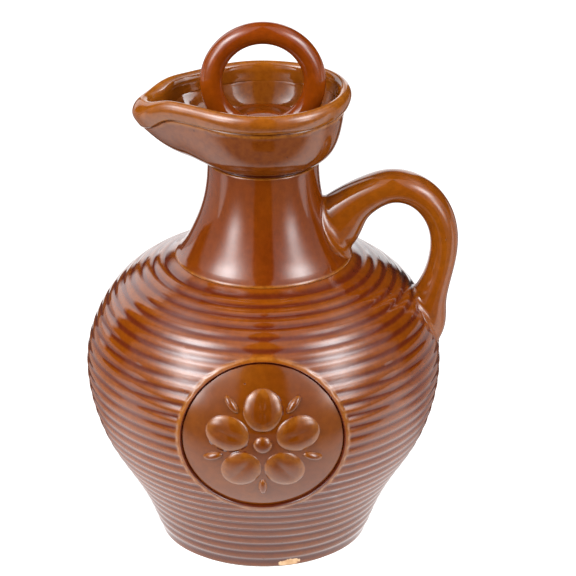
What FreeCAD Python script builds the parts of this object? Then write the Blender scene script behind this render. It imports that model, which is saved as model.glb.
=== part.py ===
"""Ribbed stoneware sake jug with a pouring lip, a strap handle and a ring stopper.

Millimetres, +Z up. The origin is the centre of the foot, on the turning axis.
The lip points along -X, the handle along +X and the medallion faces -Y.
Every luted clay piece is a solid of its own, and neighbours meet face to face.
"""
import FreeCAD
import Part
import os
from math import cos, degrees, exp, pi, radians, sin, sqrt

Vector = FreeCAD.Vector
UP = Vector(0, 0, 1)
AXIS_FOOT = Vector(0, 0, 0)

# Body: height and radius of the smooth outline that the ribs are pressed into
BODY_OUTLINE = (
    (0.0, 34.8), (4.1, 36.5), (13.5, 40.2), (25.4, 46.5), (37.2, 53.6), (49.1, 58.1), (60.9, 60.0),
    (71.1, 59.2), (79.5, 56.3), (87.3, 51.7), (94.8, 43.8), (101.9, 29.2),
)
BODY_TOP = 101.9
WALL = 4.5
FLOOR_TOP = 7.0
FLOOR_ROUND = 4.0
FLOOR_ROUND_RISE = 2.5
RIB_COUNT = 28
FIRST_GROOVE = 4.1
RIB_PITCH_FOOT = 3.86
RIB_PITCH_SHOULDER = 4.26
GROOVE_DEPTH = 0.8

# Foot: a flat base of bare clay below the glazed wall, with one shallow turned groove
FOOT_HEIGHT = 0.8
FOOT_INSET = 1.0
FOOT_EDGE_ROUND = 1.0
FOOT_GROOVE_RADIUS = 27.5
FOOT_GROOVE_WIDTH = 1.6
FOOT_GROOVE_DEPTH = 0.4

# Medallion, pressed into the front of the body
MEDALLION_HEIGHT = 58.6
MEDALLION_RADIUS = 27.4
MEDALLION_SINK = 0.9
MEDALLION_POCKET = 2.6
MEDALLION_CLEARANCE = 5.0
BEYOND_BODY = 80.0
EMBLEM_RISE = 1.3
PETAL_COUNT = 5
PETAL_REACH = 12.4
PETAL_HALF_LENGTH = 7.4
PETAL_HALF_WIDTH = 6.6
BLOSSOM_EYE_RADIUS = 3.2
SEPAL_REACH = 17.6
SEPAL_HALF_LENGTH = 3.4
SEPAL_HALF_WIDTH = 1.5

# Neck: height and radius of its outside and of its bore
NECK_OUTLINE = (
    (101.9, 29.6), (106.0, 26.6), (111.0, 24.0), (116.9, 21.6), (122.7, 20.0), (128.5, 19.1), (135.2, 18.7),
)
NECK_BORE = (
    (101.9, 24.9), (106.0, 22.0), (111.0, 19.6), (117.0, 17.5), (123.0, 16.0), (130.0, 15.0), (137.6, 14.8),
)
NECK_EDGE_ROUND = 0.9
WAIST_RADIUS = 17.4

# Mouth cup: an oval bowl pulled out into a lip along -X
CUP_BOTTOM = 137.6
CUP_FLOOR = 144.0
CUP_FOOT_RADIUS = 17.4
THROAT_RADIUS = 12.6
CUP_SIDE_RADIUS = 27.6
CUP_BACK_EXTRA = 1.8
LIP_REACH = 15.8
LIP_SPREAD = 20.5
LIP_SHARPNESS = 1.21
LIP_TIP_SOFTNESS = 3.5
RIM_HEIGHT = 161.4
RIM_BACK_RISE = 0.8
LIP_DROOP = 4.8
LIP_DROOP_SPREAD = 8.0
MOST_SLANT = 1.35
RIM_THICKNESS = 3.9
RIM_INNER_DROP = 1.2
RIM_SHOULDER_INSET = 0.9
RIM_SHOULDER_DROP = 0.6
BAND_HEIGHT = 6.4
BAND_EDGE_RISE = 0.5
BAND_WIDEST_DROP = 2.6
BAND_PROUD = 1.1
BAND_GROOVE = 0.9
BOWL_WALL_TOP = 2.6
BOWL_WALL_FOOT = 3.4
BOWL_LEAN = 1.8
BOWL_LIP_LEAN = 8.5
CORNER_FULLNESS = 0.72
CUP_SECTIONS = 48
LIP_SECTION_CROWDING = 0.55

# Handle: stations along its middle line, from the neck over the top to the shoulder
# (x, z, half thickness, half width)
HANDLE_STATIONS = (
    (18.5, 107.5, 9.5, 9.0), (24.0, 113.2, 9.5, 8.0), (29.8, 119.7, 7.2, 7.2), (36.0, 124.0, 5.9, 6.8),
    (43.0, 126.3, 5.4, 6.6), (50.5, 124.8, 5.1, 6.5), (56.8, 119.3, 5.0, 6.5), (60.4, 110.5, 4.8, 6.5),
    (60.4, 101.5, 4.6, 6.5), (58.5, 93.0, 4.8, 6.8), (55.9, 85.0, 6.4, 7.6), (53.2, 77.8, 8.9, 8.4),
    (49.0, 71.5, 9.4, 8.8),
)
HANDLE_SQUARENESS = 2.3
HANDLE_LOOP_POINTS = 16

# Stopper
RING_CENTRE_HEIGHT = 163.8
RING_RADIUS = 17.15
RING_TUBE = 3.75
STOPPER_SEAT_GAP = 0.2
STOPPER_DISC_RADIUS = 15.5
STOPPER_DISC_EDGE = 6.4
STOPPER_DISC_ROUND = 2.0
STOPPER_DOME = 1.5
STOPPER_DOME_OUTER = 9.6
STOPPER_DOME_INNER = 7.0
PLUG_TOP_RADIUS = 11.8
PLUG_TIP_RADIUS = 11.0
PLUG_LENGTH = 15.5
PLUG_EDGE_ROUND = 1.5


def side_point(radius, height):
    return Vector(radius, 0, height)


def smooth(points):
    curve = Part.BSplineCurve()
    curve.interpolate(points)
    return curve


def line(start, end):
    return Part.LineSegment(start, end).toShape()


def turned(edges):
    """The solid that a closed outline in the XZ plane sweeps round the axis."""
    face = Part.Face(Part.Wire(Part.__sortEdges__(edges)))
    return face.revolve(AXIS_FOOT, UP, 360)


def body_curve():
    return smooth([side_point(radius, height) for height, radius in BODY_OUTLINE])


def outline_point(curve, parameter, depth):
    """A point of the body's outline, moved inwards through the wall by depth."""
    along = curve.tangent(parameter)[0]
    inwards = Vector(-along.z, 0, along.x)
    return curve.value(parameter) + inwards * depth


def outline_at_depth(curve, depth, low, high, count=14):
    """The body's outline moved inwards by depth, between two parameters."""
    steps = [low + (high - low) * i / (count - 1) for i in range(count)]
    return smooth([outline_point(curve, t, depth) for t in steps])


def parameter_at_height(curve, height):
    """The parameter where the rising outline passes a height, by halving."""
    low, high = curve.FirstParameter, curve.LastParameter
    for _ in range(60):
        middle = (low + high) / 2
        if curve.value(middle).z < height:
            low = middle
        else:
            high = middle
    return (low + high) / 2


def rib_edges(curve):
    """One outward arc for each rib; neighbours meet in a narrow groove."""
    start = curve.FirstParameter
    distance = FIRST_GROOVE
    grooves = []
    for i in range(RIB_COUNT + 1):
        grooves.append(curve.parameterAtDistance(distance, start))
        distance += RIB_PITCH_FOOT + (RIB_PITCH_SHOULDER - RIB_PITCH_FOOT) * i / (RIB_COUNT - 1)
    edges = []
    for low, high in zip(grooves, grooves[1:]):
        first = outline_point(curve, low, GROOVE_DEPTH)
        crest = outline_point(curve, (low + high) / 2, 0)
        last = outline_point(curve, high, GROOVE_DEPTH)
        edges.append(Part.Arc(first, crest, last).toShape())
    return edges, grooves


def foot_radius():
    return BODY_OUTLINE[0][1] - FOOT_INSET


def foot_base():
    base = Part.makeCylinder(foot_radius(), FOOT_HEIGHT)
    groove_outer = Part.makeCylinder(FOOT_GROOVE_RADIUS, FOOT_GROOVE_DEPTH)
    groove_inner = Part.makeCylinder(FOOT_GROOVE_RADIUS - FOOT_GROOVE_WIDTH, FOOT_GROOVE_DEPTH)
    return base.cut(groove_outer.cut(groove_inner))


def foot_edge(curve, groove):
    """The rounded edge of the glazed wall over the foot, and the plain strip up to the first groove."""
    under_edge = side_point(foot_radius(), FOOT_HEIGHT)
    low = curve.value(parameter_at_height(curve, FOOT_HEIGHT + FOOT_EDGE_ROUND))
    corner = side_point(low.x, FOOT_HEIGHT)
    bend = (under_edge + low + corner * 2) * 0.25
    strip_middle = outline_point(curve, groove * 0.55, 0)
    return [
        Part.Arc(under_edge, bend, low).toShape(),
        Part.Arc(low, strip_middle, outline_point(curve, groove, GROOVE_DEPTH)).toShape(),
    ]


def body_shell():
    curve = body_curve()
    ribs, grooves = rib_edges(curve)
    last = curve.LastParameter
    last_groove = outline_point(curve, grooves[-1], GROOVE_DEPTH)
    top_outer = curve.value(last)
    top_inner = side_point(NECK_BORE[0][1], BODY_TOP)
    inside_start = parameter_at_height(curve, FLOOR_TOP + FLOOR_ROUND_RISE)
    inside = outline_at_depth(curve, WALL, inside_start, last)
    inside_low = inside.value(inside.FirstParameter)
    inside_high = inside.value(inside.LastParameter)
    floor_edge = side_point(inside_low.x - FLOOR_ROUND, FLOOR_TOP)
    floor_bend = (inside_low + floor_edge + side_point(inside_low.x, FLOOR_TOP) * 2) * 0.25
    edges = [
        line(AXIS_FOOT + UP * FOOT_HEIGHT, side_point(foot_radius(), FOOT_HEIGHT)),
        *foot_edge(curve, grooves[0]),
        *ribs,
        line(last_groove, top_outer),
        line(top_outer, top_inner),
        line(top_inner, inside_high),
        inside.toShape(),
        smooth([inside_low, floor_bend, floor_edge]).toShape(),
        line(floor_edge, side_point(0, FLOOR_TOP)),
        line(side_point(0, FLOOR_TOP), side_point(0, FOOT_HEIGHT)),
    ]
    return turned(edges).cut(medallion_block(MEDALLION_POCKET, -MEDALLION_CLEARANCE))


def medallion_block(deep, shallow):
    """The front part of the body's wall inside the medallion's circle, between two depths."""
    curve = body_curve()
    reach = MEDALLION_RADIUS + MEDALLION_CLEARANCE
    low = parameter_at_height(curve, MEDALLION_HEIGHT - reach)
    high = parameter_at_height(curve, MEDALLION_HEIGHT + reach)
    inner = outline_at_depth(curve, deep, low, high)
    outer = outline_at_depth(curve, shallow, low, high)
    edges = [
        inner.toShape(),
        outer.toShape(),
        line(inner.value(inner.FirstParameter), outer.value(outer.FirstParameter)),
        line(inner.value(inner.LastParameter), outer.value(outer.LastParameter)),
    ]
    centre = Vector(0, 0, MEDALLION_HEIGHT)
    circle = Part.makeCylinder(MEDALLION_RADIUS, BEYOND_BODY, centre, Vector(0, -1, 0))
    return turned(edges).common(circle)


def medallion_disc():
    return medallion_block(MEDALLION_POCKET, MEDALLION_SINK)


def upright_prism(centre_x, centre_z, half_along, half_across, turn):
    """An elliptical bar along -Y, its long axis turned in the medallion's plane."""
    ellipse = Part.Ellipse(Vector(0, 0, 0), half_along, half_across)
    face = Part.Face(Part.Wire(ellipse.toShape()))
    face.rotate(Vector(0, 0, 0), UP, turn)
    face.rotate(Vector(0, 0, 0), Vector(1, 0, 0), 90)
    face.translate(Vector(centre_x, 0, centre_z))
    return face.extrude(Vector(0, -BEYOND_BODY, 0))


def spoke(turn, reach, half_length, half_width):
    """An upright prism that lies along a ray from the medallion's centre."""
    x = reach * cos(radians(turn))
    z = MEDALLION_HEIGHT + reach * sin(radians(turn))
    return upright_prism(x, z, half_length, half_width, turn)


def medallion_emblem():
    """A plain blossom, raised from the medallion's floor: eye, round petals and sepals between them."""
    raised = medallion_block(MEDALLION_SINK, MEDALLION_SINK - EMBLEM_RISE)
    bars = [upright_prism(0, MEDALLION_HEIGHT, BLOSSOM_EYE_RADIUS, BLOSSOM_EYE_RADIUS, 0)]
    for i in range(PETAL_COUNT):
        turn = 90 + 360 * i / PETAL_COUNT
        bars.append(spoke(turn, PETAL_REACH, PETAL_HALF_LENGTH, PETAL_HALF_WIDTH))
        bars.append(spoke(turn + 180 / PETAL_COUNT, SEPAL_REACH, SEPAL_HALF_LENGTH, SEPAL_HALF_WIDTH))
    return Part.makeCompound([raised.common(bar).Solids[0] for bar in bars])


def neck_collar():
    outside = smooth([side_point(radius, height) for height, radius in NECK_OUTLINE])
    bore = smooth([side_point(radius, height) for height, radius in NECK_BORE])
    edge_start = outside.value(outside.LastParameter)
    edge_end = edge_start + Vector(-NECK_EDGE_ROUND, 0, NECK_EDGE_ROUND)
    edge_centre = side_point(edge_end.x, edge_start.z)
    edge_middle = edge_centre + Vector(1, 0, 1).normalize() * NECK_EDGE_ROUND
    waist_top = side_point(WAIST_RADIUS, CUP_BOTTOM)
    edges = [
        outside.toShape(),
        Part.Arc(edge_start, edge_middle, edge_end).toShape(),
        line(edge_end, waist_top),
        line(waist_top, bore.value(bore.LastParameter)),
        bore.toShape(),
        line(bore.value(bore.FirstParameter), outside.value(outside.FirstParameter)),
    ]
    return turned(edges)


def lip_share(angle, spread, sharpness):
    """1 at the lip's tip, falling to 0 round the cup; the angle is from -X, in degrees."""
    softened = sqrt(angle ** 2 + LIP_TIP_SOFTNESS ** 2) - LIP_TIP_SOFTNESS
    return exp(-((softened / spread) ** sharpness))


def back_share(angle):
    return cos(radians(angle)) ** 2 if angle > 90 else 0.0


def rim_radius(angle):
    """Radius of the rim band's widest line."""
    lip = LIP_REACH * lip_share(angle, LIP_SPREAD, LIP_SHARPNESS)
    return CUP_SIDE_RADIUS + CUP_BACK_EXTRA * back_share(angle) + lip


def rim_top(angle):
    droop = LIP_DROOP * lip_share(angle, LIP_DROOP_SPREAD, 2)
    return RIM_HEIGHT + RIM_BACK_RISE * back_share(angle) - droop


def slant(angle):
    """How much longer a radial cut through the wall is than its thickness."""
    step = 0.5
    near = max(angle - step, 0.0)
    far = min(angle + step, 180.0)
    slope = (rim_radius(far) - rim_radius(near)) / radians(far - near)
    return min(sqrt(1 + (slope / rim_radius(angle)) ** 2), MOST_SLANT)


def cup_section(angle):
    """Points of the wall's cut at one angle from the lip: bowl, band and inside."""
    widest = rim_radius(angle)
    top = rim_top(angle)
    stretch = slant(angle)
    lip = lip_share(angle, LIP_SPREAD, LIP_SHARPNESS)
    bowl_top = (widest - (BAND_PROUD + BAND_GROOVE) * stretch, top - BAND_HEIGHT)
    corner = (bowl_top[0] - BOWL_LEAN - BOWL_LIP_LEAN * lip, CUP_BOTTOM)
    inner_top = (widest - RIM_THICKNESS * stretch, top - RIM_INNER_DROP)
    inner_join = (bowl_top[0] - BOWL_WALL_TOP * stretch, top - BAND_HEIGHT)
    inner_corner = (corner[0] - BOWL_WALL_FOOT * stretch, CUP_FLOOR)
    return {
        "foot": (CUP_FOOT_RADIUS, CUP_BOTTOM),
        "corner": corner,
        "bowl_top": bowl_top,
        "band_low": (widest - BAND_PROUD * stretch, top - BAND_HEIGHT + BAND_EDGE_RISE),
        "band_wide": (widest, top - BAND_WIDEST_DROP),
        "band_shoulder": (widest - RIM_SHOULDER_INSET * stretch, top - RIM_SHOULDER_DROP),
        "crown": (widest - RIM_THICKNESS / 2 * stretch, top),
        "inner_top": inner_top,
        "inner_join": inner_join,
        "inner_corner": inner_corner,
        "seat": (THROAT_RADIUS, CUP_FLOOR),
        "throat": (THROAT_RADIUS, CUP_BOTTOM),
    }


def rounded_corner(start, corner, end):
    """A cubic that leaves start and reaches end, both heading for the corner."""
    first = tuple(s + CORNER_FULLNESS * (c - s) for s, c in zip(start, corner))
    second = tuple(e + CORNER_FULLNESS * (c - e) for e, c in zip(end, corner))
    return [start, first, second, end]


def placed(point, turn):
    """A (radius, height) point at an angle measured from -X."""
    radius, height = point
    return Vector(-radius * cos(radians(turn)), -radius * sin(radians(turn)), height)


def section_wire(turn, parts):
    """A closed wire at one turn; a part is a pole list of a line or a cubic, or a smooth run."""
    edges = []
    for kind, points in parts:
        placed_points = [placed(point, turn) for point in points]
        if kind == "cubic":
            curve = Part.BezierCurve()
            curve.setPoles(placed_points)
            edges.append(curve.toShape())
        elif kind == "run":
            edges.append(smooth(placed_points).toShape())
        else:
            edges.append(line(*placed_points))
    return Part.Wire(edges)


def folded_angle(turn):
    """The angle from the lip, the same on both sides of the cup."""
    turn = turn % 360
    return turn if turn <= 180 else 360 - turn


def bowl_wire(turn):
    at = cup_section(folded_angle(turn))
    parts = [
        ("line", [at["throat"], at["foot"]]),
        ("cubic", rounded_corner(at["foot"], at["corner"], at["bowl_top"])),
        ("line", [at["bowl_top"], at["inner_join"]]),
        ("cubic", rounded_corner(at["inner_join"], at["inner_corner"], at["seat"])),
        ("line", [at["seat"], at["throat"]]),
    ]
    return section_wire(turn, parts)


def band_wire(turn):
    at = cup_section(folded_angle(turn))
    names = ("bowl_top", "band_low", "band_wide", "band_shoulder", "crown", "inner_top")
    outside = [at[name] for name in names]
    parts = [
        ("run", outside),
        ("run", [at["inner_top"], at["inner_join"]]),
        ("line", [at["inner_join"], at["bowl_top"]]),
    ]
    return section_wire(turn, parts)


def lip_turns():
    """Turns round the cup, closer together at the lip, starting opposite it."""
    turns = []
    for i in range(CUP_SECTIONS):
        even = 2 * pi * i / CUP_SECTIONS
        turns.append(180 + degrees(even + LIP_SECTION_CROWDING * sin(even)))
    return turns


def round_the_cup(wire_at):
    wires = [wire_at(turn) for turn in lip_turns()]
    return Part.makeLoft(wires, True, False, True)


def mouth_cup():
    return round_the_cup(bowl_wire)


def rim_band():
    return round_the_cup(band_wire)


def handle_loop(curve, parameter, half_thickness, half_width):
    """A rounded strap section, square to the handle's middle line."""
    centre = curve.value(parameter)
    along = curve.tangent(parameter)[0]
    across = Vector(-along.z, 0, along.x)
    points = []
    for i in range(HANDLE_LOOP_POINTS):
        turn = 2 * pi * i / HANDLE_LOOP_POINTS
        u = abs(cos(turn)) ** (2 / HANDLE_SQUARENESS) * (1 if cos(turn) > 0 else -1)
        v = abs(sin(turn)) ** (2 / HANDLE_SQUARENESS) * (1 if sin(turn) > 0 else -1)
        points.append(centre + across * (half_thickness * u) + Vector(0, half_width * v, 0))
    loop = Part.BSplineCurve()
    loop.interpolate(Points=points, PeriodicFlag=True)
    return Part.Wire(loop.toShape())


def handle(supports):
    middle = smooth([side_point(x, z) for x, z, _, _ in HANDLE_STATIONS])
    loops = []
    for x, z, half_thickness, half_width in HANDLE_STATIONS:
        parameter = middle.parameter(side_point(x, z))
        loops.append(handle_loop(middle, parameter, half_thickness, half_width))
    bar = Part.makeLoft(loops, True)
    for support in supports:
        bar = bar.cut(support)
    return max(bar.Solids, key=lambda solid: solid.Volume)


def quarter_round(start, corner, end):
    """A quarter circle from start to end that turns inside the corner."""
    centre = start + end - corner
    middle = centre + (corner - centre).normalize() * (start - centre).Length
    return Part.Arc(start, middle, end).toShape()


def stopper_disc():
    """A round flange with a low dome that carries the ring."""
    bottom = CUP_FLOOR + STOPPER_SEAT_GAP
    top = bottom + STOPPER_DISC_EDGE
    dome_top = top + STOPPER_DOME
    flat = STOPPER_DISC_RADIUS - STOPPER_DISC_ROUND
    low_side = side_point(STOPPER_DISC_RADIUS, bottom + STOPPER_DISC_ROUND)
    high_side = side_point(STOPPER_DISC_RADIUS, top - STOPPER_DISC_ROUND)
    dome = Part.BezierCurve()
    dome.setPoles([
        side_point(flat, top),
        side_point(STOPPER_DOME_OUTER, top),
        side_point(STOPPER_DOME_INNER, dome_top),
        side_point(0, dome_top),
    ])
    edges = [
        line(side_point(0, bottom), side_point(flat, bottom)),
        quarter_round(side_point(flat, bottom), side_point(STOPPER_DISC_RADIUS, bottom), low_side),
        line(low_side, high_side),
        quarter_round(high_side, side_point(STOPPER_DISC_RADIUS, top), side_point(flat, top)),
        dome.toShape(),
        line(side_point(0, dome_top), side_point(0, bottom)),
    ]
    return turned(edges)


def stopper_ring(disc):
    centre = Vector(0, 0, RING_CENTRE_HEIGHT)
    torus = Part.makeTorus(RING_RADIUS, RING_TUBE, centre, Vector(0, 1, 0))
    buried = Part.makeCylinder(STOPPER_DISC_RADIUS, CUP_FLOOR + STOPPER_SEAT_GAP + STOPPER_DISC_EDGE)
    ring = torus.cut(disc).cut(buried)
    return max(ring.Solids, key=lambda solid: solid.Volume)


def stopper_plug():
    top = CUP_FLOOR + STOPPER_SEAT_GAP
    tip = top - PLUG_LENGTH
    plug = Part.makeCone(PLUG_TIP_RADIUS, PLUG_TOP_RADIUS, PLUG_LENGTH, side_point(0, tip))
    tip_edge = min(plug.Edges, key=lambda edge: edge.BoundBox.ZMax)
    return plug.makeFillet(PLUG_EDGE_ROUND, [tip_edge])


def main():
    os.makedirs("parts", exist_ok=True)
    body = body_shell()
    neck = neck_collar()
    disc = stopper_disc()
    shapes = {
        "body_shell": body,
        "foot_base": foot_base(),
        "medallion_disc": medallion_disc(),
        "medallion_emblem": medallion_emblem(),
        "neck_collar": neck,
        "mouth_cup": mouth_cup(),
        "rim_band": rim_band(),
        "handle": handle((body, neck)),
        "stopper_plug": stopper_plug(),
        "stopper_disc": disc,
        "stopper_ring": stopper_ring(disc),
    }
    for name, shape in shapes.items():
        shape.exportStep(os.path.join("parts", name + ".step"))


main()
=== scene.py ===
"""Ribbed stoneware sake jug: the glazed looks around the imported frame.

Shapes are worked out in millimetres in the frame's axes and scaled to metres as meshes are made.
The lip points along -X, the handle along +X, and the medallion faces -Y.
"""

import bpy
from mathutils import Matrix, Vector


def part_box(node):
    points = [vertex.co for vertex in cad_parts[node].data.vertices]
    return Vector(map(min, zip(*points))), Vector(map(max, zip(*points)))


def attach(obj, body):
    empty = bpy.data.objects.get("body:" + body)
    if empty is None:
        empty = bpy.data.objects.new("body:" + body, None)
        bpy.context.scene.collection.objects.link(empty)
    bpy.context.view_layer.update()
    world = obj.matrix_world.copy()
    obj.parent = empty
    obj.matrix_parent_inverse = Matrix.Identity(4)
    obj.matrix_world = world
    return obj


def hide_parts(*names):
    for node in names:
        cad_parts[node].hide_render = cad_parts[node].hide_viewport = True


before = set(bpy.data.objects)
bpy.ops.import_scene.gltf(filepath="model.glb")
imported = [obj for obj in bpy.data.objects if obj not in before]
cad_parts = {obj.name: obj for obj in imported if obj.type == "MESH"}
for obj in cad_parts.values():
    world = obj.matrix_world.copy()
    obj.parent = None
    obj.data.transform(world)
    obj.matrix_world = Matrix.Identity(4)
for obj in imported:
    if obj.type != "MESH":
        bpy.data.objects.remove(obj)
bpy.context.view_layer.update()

import math

import bmesh
import bpy
import numpy as np

MM = 0.001


def low_of(node, axis):
    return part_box(node)[0][axis] / MM


def high_of(node, axis):
    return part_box(node)[1][axis] / MM


X, Y, Z = 0, 1, 2

# Levels and sizes taken from the frame. All lengths here are in millimetres.
FOOT_TOP = high_of("foot_base", Z)
FOOT_RADIUS = high_of("foot_base", X)
BODY_TOP = high_of("body_shell", Z)
NECK_TOP = high_of("neck_collar", Z)
NECK_BASE_RADIUS = high_of("neck_collar", X)
CUP_BOTTOM = low_of("mouth_cup", Z)
DISC_BOTTOM = low_of("stopper_disc", Z)
DISC_RADIUS = high_of("stopper_disc", X)
DOME_TOP = high_of("stopper_disc", Z)
PLUG_TIP = low_of("stopper_plug", Z)
PLUG_RADIUS = high_of("stopper_plug", X)
RING_OUTER = high_of("stopper_ring", X)
RING_TUBE = high_of("stopper_ring", Y)
RING_CENTRE = high_of("stopper_ring", Z) - RING_OUTER
MEDALLION_RADIUS = (high_of("medallion_disc", Z) - low_of("medallion_disc", Z)) / 2
MEDALLION_HEIGHT = (high_of("medallion_disc", Z) + low_of("medallion_disc", Z)) / 2

# Body: height and radius of the smooth outline that the ribs are pressed into
BODY_OUTLINE = (
    (0.0, 34.8), (4.1, 36.5), (13.5, 40.2), (25.4, 46.5), (37.2, 53.6), (49.1, 58.1), (60.9, 60.0),
    (71.1, 59.2), (79.5, 56.3), (87.3, 51.7), (94.8, 43.8), (BODY_TOP, 29.2),
)
WALL_START = 1.6
WALL = 4.5
FLOOR_TOP = 7.0
BODY_COLUMNS = 288
RIB_COUNT = 28
FIRST_GROOVE = 4.1
RIB_PITCH_FOOT = 3.86
RIB_PITCH_SHOULDER = 4.26
GROOVE_DEPTH_FOOT = 0.46
GROOVE_DEPTH_SHOULDER = 0.23

# Medallion: its panel and emblem, and distances beyond its edge for the wall round it
MEDALLION_SINK = 0.9
MEDALLION_POCKET = 2.6
PANEL_GAP = 0.28
PANEL_ROUND = 0.35
FILL_GAP = 0.17
EMBLEM_RISE = 1.5
PETALS = 5
CALM_FROM, CALM_TO = 0.5, 1.7
BORDER_RISE, BORDER_AT, BORDER_WIDTH = 0.10, 0.8, 0.6
GOLDEN_SHARE, GOLDEN_AT, GOLDEN_WIDTH = 0.75, 0.9, 0.7

# Neck: height and radius, outside and inside
NECK_OUTLINE = (
    (BODY_TOP, NECK_BASE_RADIUS), (106.0, 26.6), (111.0, 24.0), (116.9, 21.6), (122.7, 20.0), (128.5, 19.1),
    (135.9, 18.65),
)
NECK_BORE = (
    (BODY_TOP, 24.9), (106.0, 22.0), (111.0, 19.6), (117.0, 17.5), (123.0, 16.0), (130.0, 15.0),
    (NECK_TOP, 14.8),
)
NECK_CORNER = 0.6
WAIST_RADIUS = 17.8

# Mouth cup and its rim band; the lip's spreads and softness are in degrees
CUP_FLOOR = 144.0
THROAT_RADIUS = 12.6
CUP_SIDE_RADIUS = 27.6
CUP_BACK_EXTRA = 1.8
LIP_REACH = 15.8
LIP_SPREAD = 17.4
LIP_SHARPNESS = 1.25
LIP_TIP_SOFTNESS = 9.0
RIM_HEIGHT = 161.4
RIM_BACK_RISE = 0.8
LIP_DROOP = 3.2
LIP_DROOP_SPREAD = 8.0
MOST_SLANT = 1.35
BAND_HEIGHT = 6.4
BAND_PROUD = 1.1
BAND_GROOVE = 0.9
BAND_THICKNESS = 4.35
LIP_TUCK = 2.4
LIP_EXTRA = 2.2
BOWL_LEAN = 1.8
BOWL_LIP_LEAN = 8.5
CORNER_FULLNESS = 0.72

# Handle: x, z, half thickness and half width along its middle line
HANDLE_STATIONS = (
    (18.5, 107.5, 9.5, 9.0), (24.0, 113.2, 9.5, 8.0), (29.8, 119.7, 7.2, 7.2), (36.0, 124.0, 5.9, 6.8),
    (43.0, 126.3, 5.4, 6.6), (50.5, 124.8, 5.1, 6.5), (56.8, 119.3, 5.0, 6.5), (60.4, 110.5, 4.8, 6.5),
    (60.4, 101.5, 4.6, 6.5), (58.5, 93.0, 4.8, 6.8), (55.9, 85.0, 6.4, 7.6), (53.2, 77.8, 8.9, 8.4),
    (49.0, 71.5, 9.4, 8.8),
)
HANDLE_SQUARENESS = 2.3
NECK_FILLET, BODY_FILLET = 3.2, 1.8

# Stopper: rounding of the disc and plug, and the ring's legs, which run on into the disc
DISC_ROUND = 2.0
PLUG_TAPER = 0.7
PLUG_ROUND = 1.5
RING_STEPS = 220
RING_REACH = math.radians(157)
RING_FILLET, RING_END_FILLET = 3.0, 0.5
RING_FILLET_FADE = (math.radians(136), math.radians(152))


# ---------------------------------------------------------------- curves and meshes

def natural_spline(knots, values, at):
    """The natural cubic spline through values at the knots, worked out at other places."""
    count = len(knots)
    gaps = np.diff(knots)
    matrix = np.eye(count)
    right = np.zeros_like(values)
    for i in range(1, count - 1):
        matrix[i, i - 1:i + 2] = gaps[i - 1], 2 * (gaps[i - 1] + gaps[i]), gaps[i]
        right[i] = 6 * ((values[i + 1] - values[i]) / gaps[i] - (values[i] - values[i - 1]) / gaps[i - 1])
    bend = np.linalg.solve(matrix, right)
    i = np.clip(np.searchsorted(knots, at) - 1, 0, count - 2)
    gap = gaps[i][:, None]
    before = (at - knots[i])[:, None]
    after = (knots[i + 1] - at)[:, None]
    cubic = (bend[i] * after ** 3 + bend[i + 1] * before ** 3) / (6 * gap)
    from_start = (values[i] / gap - bend[i] * gap / 6) * after
    from_end = (values[i + 1] / gap - bend[i + 1] * gap / 6) * before
    return cubic + from_start + from_end


def running_length(points):
    return np.concatenate([[0.0], np.cumsum(np.linalg.norm(np.diff(points, axis=0), axis=1))])


def smooth_line(points, count):
    """Evenly spaced points along a smooth curve through the given ones."""
    points = np.array(points, float)
    chords = running_length(points)
    fine = natural_spline(chords, points, np.linspace(0, chords[-1], 40 * len(points)))
    lengths = running_length(fine)
    at = np.linspace(0, lengths[-1], count)
    return np.column_stack([np.interp(at, lengths, fine[:, k]) for k in range(points.shape[1])])


def bezier(start, first, second, end, count):
    t = np.linspace(0, 1, count)[:, None]
    a, b, c, d = [np.array(pole, float) for pole in (start, first, second, end)]
    return (1 - t) ** 3 * a + 3 * (1 - t) ** 2 * t * b + 3 * (1 - t) * t ** 2 * c + t ** 3 * d


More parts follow.
